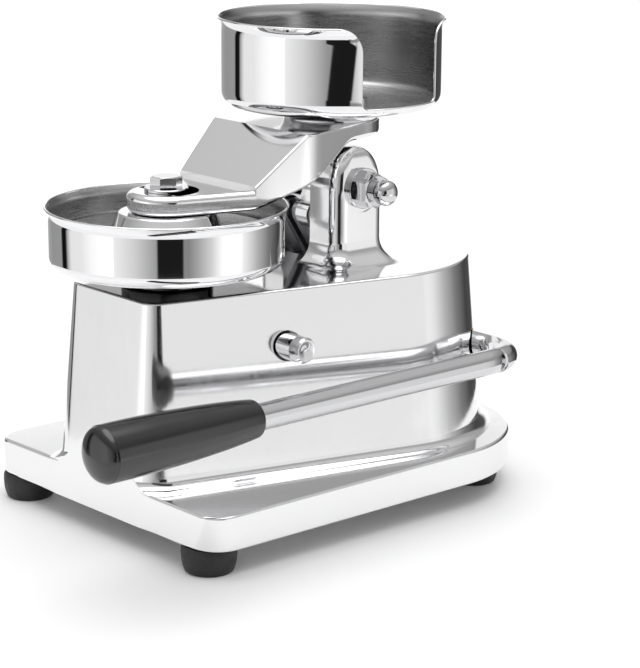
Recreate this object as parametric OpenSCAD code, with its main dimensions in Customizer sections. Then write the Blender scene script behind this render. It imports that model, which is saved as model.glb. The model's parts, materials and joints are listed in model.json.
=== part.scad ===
// Hand lever patty press: hollow cast base with a rear post, a swinging press arm,
// a lower forming bowl with a lifting plate, and an upper bowl for paper discs.
// Front is -X, the lever is on the -Y side, the table is Z = 0.

/* [View] */
// Which sub-part to build

/* [Base] */
// Height of the rubber feet
foot_h = 15; // [12:1:20]
// Radius of each foot where it meets the table
foot_r = 15.5; // [13:0.5:17]
// Height of the flange round the bottom of the body
flange_h = 20; // [16:1:24]
// Half width of the flange
flange_half_w = 104; // [100:1:110]
// Corner radius at the front of the flange
flange_corner = 18; // [14:1:22]
// Height of the flat top of the body above the table
body_top = 140; // [136:1:144]
// Radius of the round rear end, measured at the top
body_rear_r = 77.5; // [75:0.5:80]
// Radius of the two front corners, measured at the top
body_corner_r = 11; // [9:0.5:13]
// Thickness of the cast walls
wall = 5; // [4:0.5:6]

/* [Post] */
// Half width of the post across both ears
post_half_w = 36; // [35:0.5:36.5]
// Half width of the slot between the ears
slot_half_w = 12; // [12:0.5:14]
// Height of the arm axle above the table
axle_z = 185; // [183:1:186]

/* [Bowls] */
// Outside radius of the lower bowl
bowl_r = 67; // [67:0.5:69]
// Height of the lower bowl
bowl_h = 35; // [34:1:36]
// Outside radius of the paper holder
holder_r = 65.5; // [63:0.5:67]
// Height of the paper holder
holder_h = 52; // [44:1:56]
// Thickness of the bowl sheet
sheet = 1.5; // [1.2:0.1:1.8]

/* [Press arm] */
// Radius of the round presser plate
presser_r = 63.5; // [60:0.5:64]
// Radius of the round boss over the presser
boss_r = 22.5; // [21:0.5:25]
// Half width of the arm at its widest
arm_half_w = 43; // [40:0.5:46]

/* [Lever] */
// Diameter of the lever rod
rod_d = 15; // [14.5:0.5:15.5]
// Distance of the lever rod from the middle of the machine
lever_y = 104; // [100:1:108]
// Centre line radius of the bend
bend_r = 20; // [18:1:24]
// Length of the grip
grip_l = 108; // [100:1:112]
// Largest diameter of the grip
grip_d = 31; // [28:0.5:32]

/* [Linkage] */
// Angle the lever and the arm swing through
travel = 52; // [48:1:54]
// Pivot distance of the arm linkage
lift_l = 21; // [20.5:0.5:21.5]
// Pivot distance of the ejector linkage
drag_l = 22; // [21.5:0.5:22.5]
// Diameter of the linkage pins
pin_d = 8; // [7:0.5:8]

/* [Hidden] */
$fn = 96;
seam = 0.02;
far_reach = 600;
draft = 0.085;
base_z = foot_h;
flange_top = base_z + flange_h;

rear_x = 132;
corner_x = -30.5;
corner_y = 29;
corner_gap = sqrt(pow(rear_x - corner_x, 2) + pow(corner_y, 2));
taper = asin((body_rear_r - body_corner_r) / corner_gap) - atan(corner_y / (rear_x - corner_x));
front_x = corner_x - body_corner_r - draft * (body_top - base_z);

flange_rear_r = 80;
flange_rear_x = 142;
flange_rear_y = flange_half_w - flange_rear_r;
foot_spots = [[-39, -85], [-39, 85], [183, -66], [183, 66]];

post_front = 97;
post_rear = 135;
post_corner = 8;
link_hole_x = 105;
link_hole_l = 38;
ear_r = 24;
skirt_r = 14;
axle_x = 117;
axle_d = 12;
spot_r = 14.5;
spot_depth = 1;
washer_t = 3;
nut_r = 10.6;
nut_h = 10.5;
dome_r = 7.5;
dome_z = 16;

shaft_x = 181;
shaft_z = 87;
pin_x = 38.5;
pin_z = 108;
side_pin_d = 15;
bush_r = 9.5;
boss_inner_y = 46;
bush_end_y = 56;
collar_y = 37;

bowl_bottom = body_top + 10;
bowl_floor = bowl_bottom + sheet;
bowl_corner = 7;
neck_r = 28;
rod_r = 6;
guide_r = 9;
lip_r = 6;
lip_turn = 55;
screw_r = 2.5;
bowl_ring = 20;
holder_ring = 18;

arm_x = 123.5;
arm_rear_r = 29;
arm_bottom = 181;
arm_top = 192.7;
block_top = 222;
holder_bottom = block_top + 8;
tongue_half = 5;
hub_r = 12;
bolt_r = 5;
presser_bottom = 164;
plate_h = 5;

grip_rear_x = -22;
grip_front_x = grip_rear_x - grip_l;
rear_end_x = flange_rear_x + flange_rear_r;
middle_x = (grip_front_x + rear_end_x) / 2;
middle_y = (flange_half_w - lever_y - grip_d / 2) / 2;

link_r = 7;
link_in = 5.4;
link_out = 9.4;
eye_r = 8;
crank_hub_r = 13;
grub_r = 2.5;
run_gap = 0.05;
fit_gap = 0.02;
lift_start = -66;
drag_start = -90 + atan((pin_z - shaft_z) / (shaft_x - pin_x)) - travel / 2;
drag_in = 19.6;
drag_out = 25.6;
far_arm_in = 26;
far_arm_out = 34;

fork_l = 40;
roller_r = 7;
roller_gap = 0.45;
fork_tip = [pin_x - fork_l * cos(travel / 2), pin_z - fork_l * sin(travel / 2)];
rod_foot = fork_tip[1] + roller_r + roller_gap;
plate_bottom = bowl_floor + 1.8;
plate_top = plate_bottom + 3.5;
plate_bevel = 1.6;
plate_r = 65;

// ---------- shared shapes ----------

// Moves a sub-part so that the origin is the middle of the machine's outer box, on the table
module placed() {
    translate([-middle_x, -middle_y, 0])
        children();
}

// Offset of a linkage pivot from its own centre; zero points to the front, growing upward
function swung(length, angle) = [-length * cos(angle), length * sin(angle)];

lift_pin = [shaft_x, shaft_z] + swung(lift_l, lift_start);
arm_pin = [axle_x, axle_z] + swung(lift_l, lift_start);
drag_pin = [shaft_x, shaft_z] + swung(drag_l, drag_start);
rocker_pin = [pin_x, pin_z] + swung(drag_l, drag_start);

// A flat outline drawn in X and Z, made solid from y0 to y1
module slab(y0, y1) {
    translate([0, y1, 0])
        rotate([90, 0, 0])
            linear_extrude(height = y1 - y0)
                children();
}

// A round bar along Y, centred on a point in X and Z
module cross_bar(at, r, y0, y1) {
    translate([at[0], y1, at[1]])
        rotate([90, 0, 0])
            cylinder(h = y1 - y0, r = r);
}

// A bar with round ends between two points
module eye_bar(p, q, r) {
    run = q - p;
    translate(p)
        circle(r);
    translate(q)
        circle(r);
    translate(p)
        rotate(atan2(run[1], run[0]))
            translate([0, seam - r])
                square([norm(run), 2 * (r - seam)]);
}

module hole_at(at, r) {
    translate(at)
        circle(r);
}

// Everything behind a face that leans inward as it rises
module behind_face(at, heading, slope) {
    translate([at[0], at[1], body_top])
        rotate([0, -atan(slope), heading])
            translate([-far_reach, -far_reach / 2, -far_reach / 2])
                cube(far_reach);
}

module cone_part(at, r_top, z_lo, z_hi) {
    translate([at[0], at[1], z_lo])
        cylinder(
            h = z_hi - z_lo,
            r1 = r_top + draft * (body_top - z_lo),
            r2 = r_top + draft * (body_top - z_hi)
        );
}

module front_face_side(inset) {
    behind_face([corner_x - body_corner_r + inset + seam, 0], 180, draft);
}

// The body outline: narrow front, straight flaring sides, round rear, all with draft
module body_form(z_lo, z_hi, inset) {
    rear_r = body_rear_r - inset;
    corner_r = body_corner_r - inset;
    half_turn = (90 - taper) / 2;
    cone_part([rear_x, 0], rear_r, z_lo, z_hi);
    for (side = [-1, 1])
        cone_part([corner_x, side * corner_y], corner_r, z_lo, z_hi);
    intersection() {
        translate([-far_reach / 2 + rear_x, -far_reach / 2, z_lo])
            cube([far_reach / 2, far_reach, z_hi - z_lo]);
        front_face_side(inset);
        intersection_for(side = [-1, 1]) {
            cut = corner_r * cos(half_turn) - seam;
            cut_way = 180 - side * half_turn;
            side_way = side * (90 + taper);
            side_r = rear_r - seam;
            intersection() {
                behind_face([rear_x - rear_r * sin(taper), 0], 0, -draft * sin(taper));
                behind_face(
                    [rear_x + side_r * cos(side_way), side_r * sin(side_way)], side_way, draft
                );
                behind_face(
                    [corner_x + cut * cos(cut_way), side * corner_y + cut * sin(cut_way)],
                    cut_way, draft * cos(half_turn)
                );
            }
        }
    }
}

module flange_plan(inset) {
    front = front_x + inset;
    corner = flange_corner - inset;
    rear = flange_rear_r - inset;
    half = flange_half_w - inset;
    translate([front + corner, -half])
        square([flange_rear_x - front - corner, 2 * half]);
    translate([front, corner - half])
        square([corner + 1, 2 * (half - corner)]);
    translate([flange_rear_x - 1, -flange_rear_y])
        square([rear + 1, 2 * flange_rear_y]);
    for (side = [-1, 1]) {
        translate([front + corner, side * (half - corner)])
            circle(corner);
        translate([flange_rear_x, side * flange_rear_y])
            circle(rear);
    }
}

// ---------- base group ----------

module post_plan() {
    front = post_front + post_corner;
    rear = post_rear - post_corner;
    half = post_half_w - post_corner;
    translate([front, -post_half_w])
        square([rear - front, 2 * post_half_w]);
    translate([post_front, -half])
        square([post_rear - post_front, 2 * half]);
    for (x = [front, rear], y = [-half, half])
        translate([x, y])
            circle(post_corner);
}

// Outline of the post seen from one side, with a hollow curve at its foot
module flared_side(low, high, top) {
    difference() {
        translate([low - skirt_r, body_top - 1])
            square([high - low + 2 * skirt_r, top - body_top + 1]);
        for (x = [low - skirt_r, high + skirt_r])
            translate([x, body_top + skirt_r])
                circle(skirt_r);
        for (x = [low - 2 * skirt_r, high])
            translate([x, body_top + skirt_r])
                square([2 * skirt_r, top]);
    }
}

module post() {
    intersection() {
        translate([0, 0, body_top - 1])
            linear_extrude(height = 80)
                post_plan();
        slab(-post_half_w, post_half_w) {
            hole_at([axle_x, axle_z], ear_r);
            translate([post_front, body_top - 2])
                square([post_rear - post_front, axle_z - body_top + 2]);
        }
    }
    intersection() {
        slab(-60, 60)
            flared_side(post_front, post_rear, body_top + skirt_r);
        rotate([0, 0, 90])
            slab(-160, -60)
                flared_side(-post_half_w, post_half_w, body_top + skirt_r);
    }
}

module inner_bosses() {
    intersection() {
        body_form(flange_top, body_top - 1, 0.5);
        both_sides() {
            cross_bar([shaft_x, shaft_z], 15, boss_inner_y, 100);
            cross_bar([pin_x, pin_z], 12, boss_inner_y - 4, 100);
        }
    }
    for (spot = foot_spots)
        translate([spot[0], spot[1], base_z])
            cylinder(h = flange_h - 1, r = 8);
}

module base_casting() {
    color("silver") placed()
        difference() {
            union() {
                difference() {
                    union() {
                        body_form(base_z, body_top, 0);
                        intersection() {
                            translate([0, 0, base_z])
                                linear_extrude(height = flange_h)
                                    flange_plan(0);
                            front_face_side(0);
                        }
                    }
                    body_form(base_z - 1, body_top - wall, wall);
                    translate([0, 0, base_z - 1])
                        linear_extrude(height = flange_h - wall + 1)
                            flange_plan(wall);
                }
                inner_bosses();
                post();
            }
            // slot between the ears, then the opening for the links below it
            translate([post_front - 2 * skirt_r, -slot_half_w, body_top])
                cube([90, 2 * slot_half_w, 90]);
            translate([link_hole_x, -slot_half_w, body_top - 2 * wall])
                cube([link_hole_l, 2 * slot_half_w, 3 * wall]);
            cross_bar([axle_x, axle_z], axle_d / 2 + fit_gap, -60, 60);
            for (side = [-1, 1])
                cross_bar(
                    [axle_x, axle_z], spot_r,
                    side < 0 ? -far_reach : post_half_w - spot_depth,
                    side < 0 ? spot_depth - post_half_w : far_reach
                );
            cross_bar([shaft_x, shaft_z], bush_r + fit_gap, -bush_end_y, bush_end_y);
            cross_bar([shaft_x, shaft_z], rod_d / 2 + 1, -120, -40);
            cross_bar([pin_x, pin_z], side_pin_d / 2 + fit_gap, -120, 120);
            cross_bar([pin_x, pin_z], side_pin_d / 2 + 1.3, -120, -58);
            translate([0, 0, body_top - 2 * wall])
                cylinder(h = 3 * wall, r = guide_r + fit_gap);
            screw_ring([0, 0, body_top - 2 * wall], bowl_ring, screw_r + fit_gap, 3 * wall);
            for (spot = foot_spots)
                translate([spot[0], spot[1], base_z - 1])
                    cylinder(h = 14, r = 3 + fit_gap);
        }
}

module rubber_feet() {
    color("dimgray") placed()
        for (spot = foot_spots)
            translate([spot[0], spot[1], 0])
                difference() {
                    union() {
                        cylinder(h = 2, r1 = foot_r - 1.5, r2 = foot_r);
                        translate([0, 0, 2])
                            cylinder(h = foot_h - 2, r1 = foot_r, r2 = foot_r - 1);
                    }
                    translate([0, 0, -1])
                        cylinder(h = foot_h + 2, r = 3.2);
                    translate([0, 0, -1])
                        cylinder(h = 8, r = 8);
                }
}

module foot_screws() {
    color("gainsboro") placed()
        for (spot = foot_spots)
            translate([spot[0], spot[1], 3])
                difference() {
                    union() {
                        cylinder(h = 4, r = 5.5);
                        translate([0, 0, 4])
                            cylinder(h = 20, r = 3);
                    }
                    translate([0, 0, -1])
                        cylinder(h = 3, r = 2.5, $fn = 6);
                }
}

module pan_profile(r, h, corner) {
    square([r - corner, h]);
    translate([0, corner])
        square([r, h - corner]);
    translate([r - corner, corner])
        circle(corner);
}

// Thin rim that curls outward from the top of a bowl wall
module lip_profile(r, top, thick) {
    turn_z = top - (lip_r + thick) * sin(lip_turn);
    reach = 3 * lip_r;
    translate([r + lip_r, turn_z])
        intersection() {
            difference() {
                circle(lip_r + thick);
                circle(lip_r);
            }
            polygon([
                [0, 0],
                [-reach, 0],
                [-reach, reach * tan(lip_turn)]
            ]);
        }
}

module bowl_shell(r, h, corner) {
    rotate_extrude() {
        difference() {
            pan_profile(r, h - (lip_r + sheet) * sin(lip_turn), corner);
            translate([-1, sheet])
                pan_profile(r - sheet + 1, h, corner - sheet);
        }
        lip_profile(r, h, sheet);
    }
}

module screw_ring(at, ring_r, r, h) {
    for (turn = [60, 180, 300])
        translate(at)
            rotate(turn)
                translate([ring_r, 0, 0])
                    cylinder(h = h, r = r);
}

module lower_bowl() {
    color("whitesmoke") placed()
        difference() {
            translate([0, 0, bowl_bottom])
                bowl_shell(bowl_r, bowl_h, bowl_corner);
            translate([0, 0, bowl_bottom - 1])
                cylinder(h = 4, r = guide_r + fit_gap);
            screw_ring([0, 0, bowl_bottom - 1], bowl_ring, screw_r + fit_gap, 4);
        }
}

module bowl_neck() {
    color("silver") placed()
        difference() {
            translate([0, 0, body_top])
                cylinder(h = bowl_bottom - body_top, r = neck_r);
            translate([0, 0, body_top - 1])
                cylinder(h = 12, r = guide_r + fit_gap);
            screw_ring([0, 0, body_top - 1], bowl_ring, screw_r + fit_gap, 12);
        }
}

module bowl_screws() {
    color("gainsboro") placed() {
        screw_ring([0, 0, body_top - wall], bowl_ring, screw_r, bowl_floor - body_top + wall + 0.5);
        screw_ring([0, 0, bowl_floor], bowl_ring, screw_r + 2, 1.1);
    }
}

module guide_bush() {
    color("darkkhaki") placed()
        translate([0, 0, body_top - wall])
            difference() {
                cylinder(h = bowl_floor - body_top + wall, r = guide_r);
                translate([0, 0, -1])
                    cylinder(h = 30, r = rod_r + run_gap);
            }
}

module axle() {
    color("gainsboro") placed()
        cross_bar([axle_x, axle_z], axle_d / 2, -post_half_w - 15, post_half_w + 15);
}

module both_sides() {
    children();
    mirror([0, 1, 0])
        children();
}

module axle_washers() {
    color("gainsboro") placed()
        both_sides()
            translate([axle_x, spot_depth - post_half_w, axle_z])
                rotate([90, 0, 0])
                    difference() {
                        cylinder(h = washer_t, r = 12);
                        translate([0, 0, -1])
                            cylinder(h = 5, r = axle_d / 2 + fit_gap);
                    }
}

// Domed nut lying along its own Z, hexagon first
module acorn_nut() {
    difference() {
        union() {
            intersection() {
                cylinder(h = nut_h, r = nut_r, $fn = 6);
                cylinder(h = nut_h, r1 = nut_r - 1, r2 = nut_r + 2);
                cylinder(h = nut_h, r1 = nut_r + 4, r2 = nut_r - 1);
            }
            translate([0, 0, nut_h - 0.1])
                cylinder(h = dome_z - nut_h + 0.1, r = dome_r);
            translate([0, 0, dome_z])
                intersection() {
                    sphere(dome_r);
                    translate([-dome_r, -dome_r, 0])
                        cube(2 * dome_r);
                }
        }
        translate([0, 0, -1])
            cylinder(h = dome_z + 1, r = axle_d / 2 + fit_gap);
    }
}

module acorn_nuts() {
    color("gainsboro") placed()
        both_sides()
            translate([axle_x, spot_depth - post_half_w - washer_t, axle_z])
                rotate([90, 30, 0])
                    acorn_nut();
}

module side_pin() {
    color("gainsboro") placed()
        union() {
            cross_bar([pin_x, pin_z], side_pin_d / 2, -75, 61);
            translate([pin_x, -75, pin_z])
                rotate([90, 0, 0])
                    cylinder(h = 1.2, r1 = side_pin_d / 2, r2 = side_pin_d / 2 - 1.2);
        }
}

module shaft_bushes() {
    color("darkkhaki") placed()
        both_sides()
            difference() {
                cross_bar([shaft_x, shaft_z], bush_r, boss_inner_y, bush_end_y);
                cross_bar([shaft_x, shaft_z], rod_d / 2 + run_gap, 40, 80);
            }
}

// ---------- arm group ----------

module arm_plan() {
    circle(boss_r);
    translate([arm_x, 0])
        circle(arm_rear_r);
    polygon([
        [0, -21], [42, -36], [71, -arm_half_w], [130.3, -28.1],
        [130.3, 28.1], [71, arm_half_w], [42, 36], [0, 21]
    ]);
}

module arm_side() {
    polygon([
        [-40, arm_bottom], [38, arm_bottom], [75, 193.5], [91.5, 201.6],
        [108, 212], [160, 212], [160, block_top], [68.7, block_top], [37, 195],
        [37, arm_top], [-40, arm_top]
    ]);
}

module tongue_side() {
    eye_bar([axle_x, axle_z], arm_pin, link_r + 1);
    polygon([[101, 206], [106, axle_z], [128, axle_z], [134, 210], [134, 214], [101, 214]]);
}

module arm_casting() {
    color("silver") placed()
        difference() {
            union() {
                intersection() {
                    slab(-60, 60)
                        arm_side();
                    translate([0, 0, arm_bottom - 5])
                        linear_extrude(height = 60)
                            arm_plan();
                }
                slab(-tongue_half, tongue_half)
                    tongue_side();
                cross_bar([axle_x, axle_z], hub_r, -slot_half_w + 0.5, slot_half_w - 0.5);
            }
            cross_bar([axle_x, axle_z], axle_d / 2 + run_gap, -30, 30);
            cross_bar(arm_pin, pin_d / 2 + run_gap, -30, 30);
            translate([0, 0, arm_bottom - 5])
                cylinder(h = 30, r = bolt_r + fit_gap);
            screw_ring([arm_x, 0, block_top - 9], holder_ring, screw_r + fit_gap, 20);
        }
}

module presser_plate() {
    color("silver") placed()
        union() {
            translate([0, 0, presser_bottom])
                cylinder(h = plate_h - 1, r = presser_r);
            translate([0, 0, presser_bottom + plate_h - 1])
                cylinder(h = 1, r1 = presser_r, r2 = presser_r - 1);
        }
}

// Tapered hub between the plate and the arm, with a blind hole for the bolt
module presser_hub() {
    color("silver") placed()
        difference() {
            translate([0, 0, presser_bottom + plate_h])
                cylinder(h = arm_bottom - presser_bottom - plate_h, r1 = 33, r2 = 27);
            translate([0, 0, presser_bottom + plate_h + 1])
                cylinder(h = 30, r = bolt_r + fit_gap);
        }
}

module presser_bolt() {
    color("gainsboro") placed()
        translate([0, 0, arm_top + 2]) {
            intersection() {
                cylinder(h = 6.4, r = 9.24, $fn = 6);
                cylinder(h = 6.4, r1 = 12, r2 = 8);
            }
            translate([0, 0, -23])
                cylinder(h = 23, r = bolt_r);
        }
}

module presser_washer() {
    color("gainsboro") placed()
        translate([0, 0, arm_top])
            difference() {
                cylinder(h = 2, r = 12.5);
                translate([0, 0, -1])
                    cylinder(h = 4, r = 5.3);
            }
}

module holder_neck() {
    color("silver") placed()
        difference() {
            translate([arm_x, 0, block_top])
                cylinder(h = holder_bottom - block_top, r1 = arm_rear_r, r2 = 34);
            screw_ring([arm_x, 0, block_top - 1], holder_ring, screw_r + fit_gap, 12);
        }
}

// Finger opening: straight sides, rounded low corners, flared at the rim
module finger_opening() {
    half = 29;
    flare = 14;
    low = 5;
    small = 4;
    translate([-half, low + small])
        square([2 * half, holder_h]);
    translate([small - half, low])
        square([2 * (half - small), holder_h]);
    for (side = [-1, 1]) {
        translate([side * (half - small), low + small])
            circle(small);
        difference() {
            translate([side > 0 ? half - 1 : -half - flare, holder_h - flare])
                square([flare + 1, 2 * flare]);
            translate([side * (half + flare), holder_h - flare])
                circle(flare);
            translate([side > 0 ? half + flare : -half - 2 * flare, holder_h - 2 * flare])
                square([flare, 4 * flare]);
        }
    }
}

module paper_holder() {
    color("whitesmoke") placed()
        translate([arm_x, 0, holder_bottom])
            difference() {
                bowl_shell(holder_r, holder_h, 8);
                slab(-100, -20)
                    finger_opening();
                screw_ring([0, 0, -1], holder_ring, screw_r + fit_gap, 4);
            }
}

module holder_screws() {
    color("gainsboro") placed() {
        screw_ring([arm_x, 0, block_top - 9], holder_ring, screw_r, holder_bottom + sheet - block_top + 9.5);
        screw_ring([arm_x, 0, holder_bottom + sheet], holder_ring, screw_r + 2, 2.6);
    }
}

// ---------- lever group ----------

module lever_rod() {
    r = rod_d / 2;
    color("gainsboro") placed()
        union() {
            cross_bar([shaft_x, shaft_z], r, bend_r - lever_y, bush_end_y - 0.5);
            translate([shaft_x - bend_r, bend_r - lever_y, shaft_z])
                rotate([0, 0, -90])
                    rotate_extrude(angle = 90)
                        translate([bend_r, 0])
                            circle(r);
            translate([shaft_x - bend_r, -lever_y, shaft_z])
                rotate([0, -90, 0])
                    cylinder(h = shaft_x - bend_r - grip_front_x - 20, r = r);
        }
}

// Grip radius at a share of its length, from the rear end to the front end
function grip_radius(share) = 10.8 + (grip_d / 2 - 10.8) * sin(100 * pow(share, 0.85));

module grip_outline() {
    steps = 16;
    shoulder = 3;
    dome = 3.5;
    body_l = grip_l - shoulder - dome;
    polygon(concat(
        [[0, 0], [grip_radius(0) - shoulder, 0]],
        [for (a = [15 : 15 : 75])
            [grip_radius(0) - shoulder * (1 - sin(a)), shoulder * (1 - cos(a))]],
        [for (i = [0 : steps])
            [grip_radius(i / steps), shoulder + body_l * i / steps]],
        [for (a = [15 : 15 : 75])
            [grip_radius(1) * cos(a), shoulder + body_l + dome * sin(a)]],
        [[0, grip_l]]
    ));
}

module lever_grip() {
    color("dimgray") placed()
        translate([grip_rear_x, -lever_y, shaft_z])
            rotate([0, -90, 0])
                difference() {
                    rotate_extrude()
                        grip_outline();
                    translate([0, 0, -1])
                        cylinder(h = grip_l - 19, r = rod_d / 2 + fit_gap);
                }
}

module shaft_collars() {
    color("gainsboro") placed()
        both_sides()
            difference() {
                cross_bar([shaft_x, shaft_z], 11, collar_y, boss_inner_y - 0.5);
                cross_bar([shaft_x, shaft_z], rod_d / 2 + fit_gap, collar_y - 1, 60);
            }
}

module crank_side(pin) {
    difference() {
        union() {
            hole_at([shaft_x, shaft_z], crank_hub_r);
            eye_bar([shaft_x, shaft_z], pin, eye_r);
        }
        hole_at([shaft_x, shaft_z], rod_d / 2 + fit_gap);
        hole_at(pin, pin_d / 2 + run_gap);
    }
}

// Radial hole or screw that locks a crank to the shaft
module grub_bar(y, r, z0, z1) {
    translate([shaft_x, y, shaft_z + z0])
        cylinder(h = z1 - z0, r = r);
}

module crank(y0, y1, pin) {
    difference() {
        slab(y0, y1)
            crank_side(pin);
        grub_bar((y0 + y1) / 2, grub_r + fit_gap, 0, 20);
    }
}

module lift_crank() {
    color("silver") placed()
        crank(-tongue_half, tongue_half, lift_pin);
}

module ejector_crank() {
    color("silver") placed()
        crank(far_arm_in, far_arm_out, drag_pin);
}

module grub_screws() {
    color("gainsboro") placed()
        for (y = [0, (far_arm_in + far_arm_out) / 2])
            difference() {
                grub_bar(y, grub_r, rod_d / 2 + 0.1, crank_hub_r + 0.6);
                grub_bar(y, grub_r / 2, crank_hub_r - 2, crank_hub_r + 2, $fn = 6);
            }
}

module link_plates(p, q, y0, y1) {
    slab(y0, y1)
        difference() {
            eye_bar(p, q, link_r);
            hole_at(p, pin_d / 2 + fit_gap);
            hole_at(q, pin_d / 2 + fit_gap);
        }
}

module arm_links() {
    color("silver") placed()
        both_sides()
            link_plates(lift_pin, arm_pin, link_in, link_out);
}

module link_pins() {
    color("gainsboro") placed()
        for (pin = [lift_pin, arm_pin])
            cross_bar(pin, pin_d / 2, -11, 11);
}

module link_clips() {
    color("darkgray") placed()
        both_sides()
            for (pin = [lift_pin, arm_pin])
                difference() {
                    cross_bar(pin, 6, link_out + 0.1, link_out + 1.1);
                    cross_bar(pin, pin_d / 2 + fit_gap, 0, 20);
                }
}

// ---------- ejector group ----------

module rocker() {
    color("silver") placed()
        difference() {
            union() {
                cross_bar([pin_x, pin_z], hub_r, -13, far_arm_out);
                slab(far_arm_in, far_arm_out)
                    eye_bar([pin_x, pin_z], rocker_pin, eye_r);
                both_sides()
                    slab(rod_r + 0.4, rod_r + 4.4)
                        eye_bar([pin_x, pin_z], fork_tip, 6);
            }
            cross_bar([pin_x, pin_z], side_pin_d / 2 + run_gap, -60, 60);
            cross_bar(rocker_pin, pin_d / 2 + run_gap, 0, 60);
            cross_bar(fork_tip, 3 + fit_gap, -30, 30);
        }
}

module roller() {
    color("gainsboro") placed()
        difference() {
            cross_bar(fork_tip, roller_r, -rod_r, rod_r);
            cross_bar(fork_tip, 3 + fit_gap, -30, 30);
        }
}

module roller_pin() {
    color("gainsboro") placed()
        union() {
            cross_bar(fork_tip, 3, -rod_r - 5.5, rod_r + 5.5);
            cross_bar(fork_tip, 4.5, rod_r + 4.6, rod_r + 6);
            cross_bar(fork_tip, 4.5, -rod_r - 6, -rod_r - 4.6);
        }
}

module drag_link() {
    color("silver") placed()
        link_plates(drag_pin, rocker_pin, drag_in, drag_out);
}

module drag_pins() {
    color("gainsboro") placed()
        for (pin = [drag_pin, rocker_pin]) {
            cross_bar(pin, pin_d / 2, drag_in - 2, far_arm_out + 2);
            cross_bar(pin, 5.5, drag_in - 2, drag_in - 0.1);
            cross_bar(pin, 5.5, far_arm_out + 0.5, far_arm_out + 2);
        }
}

// Lifting plate, with its lower rim bevelled to clear the rounded corner of the bowl
module ejector_plate() {
    color("whitesmoke") placed()
        difference() {
            union() {
                translate([0, 0, plate_bottom])
                    cylinder(h = plate_bevel, r1 = plate_r - plate_bevel, r2 = plate_r);
                translate([0, 0, plate_bottom + plate_bevel])
                    cylinder(h = plate_top - plate_bottom - plate_bevel, r = plate_r);
            }
            translate([0, 0, plate_bottom - 1])
                cylinder(h = 12, r = screw_r + fit_gap);
            translate([0, 0, plate_top - 2.6])
                cylinder(h = 2.7, r1 = screw_r + 0.4, r2 = screw_r + 3.1);
        }
}

module ejector_rod() {
    color("gainsboro") placed()
        difference() {
            translate([0, 0, rod_foot])
                cylinder(h = plate_bottom - rod_foot, r = rod_r);
            translate([0, 0, plate_bottom - 12])
                cylinder(h = 20, r = screw_r + fit_gap);
        }
}

module ejector_screw() {
    color("gainsboro") placed()
        union() {
            translate([0, 0, plate_bottom - 11])
                cylinder(h = plate_top - plate_bottom + 9, r = screw_r);
            translate([0, 0, plate_top - 2.4])
                cylinder(h = 2.2, r1 = screw_r + 0.3, r2 = screw_r + 2.6);
        }
}

// ---------- the sub-parts ----------

base_casting();
rubber_feet();
foot_screws();
lower_bowl();
bowl_neck();
bowl_screws();
guide_bush();
axle();
axle_washers();
acorn_nuts();
side_pin();
shaft_bushes();
arm_casting();
presser_plate();
presser_hub();
presser_bolt();
presser_washer();
holder_neck();
paper_holder();
holder_screws();
lever_rod();
lever_grip();
shaft_collars();
lift_crank();
ejector_crank();
grub_screws();
arm_links();
link_pins();
link_clips();
rocker();
roller();
roller_pin();
drag_link();
drag_pins();
ejector_plate();
ejector_rod();
ejector_screw();
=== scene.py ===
"""Looks of the hand lever patty press: smooth cast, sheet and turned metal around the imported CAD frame."""
import json
import math

import bmesh
import bpy
import numpy as np
from mathutils import Matrix, Vector


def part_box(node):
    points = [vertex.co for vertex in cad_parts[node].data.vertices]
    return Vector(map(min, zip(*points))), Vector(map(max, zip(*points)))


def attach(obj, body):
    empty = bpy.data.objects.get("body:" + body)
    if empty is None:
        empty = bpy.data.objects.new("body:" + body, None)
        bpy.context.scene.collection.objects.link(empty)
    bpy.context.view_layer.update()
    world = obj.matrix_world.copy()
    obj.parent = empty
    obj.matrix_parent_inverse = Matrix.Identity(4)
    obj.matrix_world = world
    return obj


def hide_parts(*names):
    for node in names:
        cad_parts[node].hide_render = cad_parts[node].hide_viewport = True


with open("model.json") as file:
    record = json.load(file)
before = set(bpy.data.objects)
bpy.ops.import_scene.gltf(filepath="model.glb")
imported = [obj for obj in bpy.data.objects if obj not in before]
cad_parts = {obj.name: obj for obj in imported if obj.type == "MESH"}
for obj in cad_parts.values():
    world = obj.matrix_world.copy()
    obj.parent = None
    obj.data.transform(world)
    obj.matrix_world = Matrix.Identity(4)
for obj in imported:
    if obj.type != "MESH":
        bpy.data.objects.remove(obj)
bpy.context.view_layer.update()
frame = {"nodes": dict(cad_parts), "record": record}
MM = 0.001
TAU = 2 * math.pi

# ---------------------------------------------------------------- places, in millimetres
# Model axes: X = 0 and Y = 0 is the bowl's axis, and the table is Z = 0.
bowl_lo, bowl_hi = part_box("lower_bowl")
ORIGIN = Vector(((bowl_lo.x + bowl_hi.x) / 2, (bowl_lo.y + bowl_hi.y) / 2, 0)) / MM
holder_lo, holder_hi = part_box("paper_holder")
HOLDER_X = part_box("holder_neck")[0].x / MM + 34 - ORIGIN.x
BODY_TOP = bowl_lo.z / MM - 10
FOOT_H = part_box("base_casting")[0].z / MM
FLANGE_TOP = FOOT_H + 20
AXLE = (117.0, 185.0)
SHAFT = (181.0, 87.0)
SIDE_PIN = (38.5, 108.0)
LEVER_Y = -104.0

# ---------------------------------------------------------------- mesh helpers


def to_row(points):
    """Millimetre points in the model axes, as metres in the row frame."""
    return (np.asarray(points, float) + np.array(ORIGIN)) * MM


def add_mesh(name, points, faces, body, nodes=(), slot=None, material=None, sharp=35):
    mesh = bpy.data.meshes.new(name)
    mesh.from_pydata([tuple(p) for p in to_row(points)], [], [tuple(f) for f in faces])
    tidy_mesh(mesh, sharp)
    obj = bpy.data.objects.new(name, mesh)
    bpy.context.scene.collection.objects.link(obj)
    if material:
        mesh.materials.append(material)
    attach(obj, body)
    if nodes:
        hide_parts(*nodes)
    return obj


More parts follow.
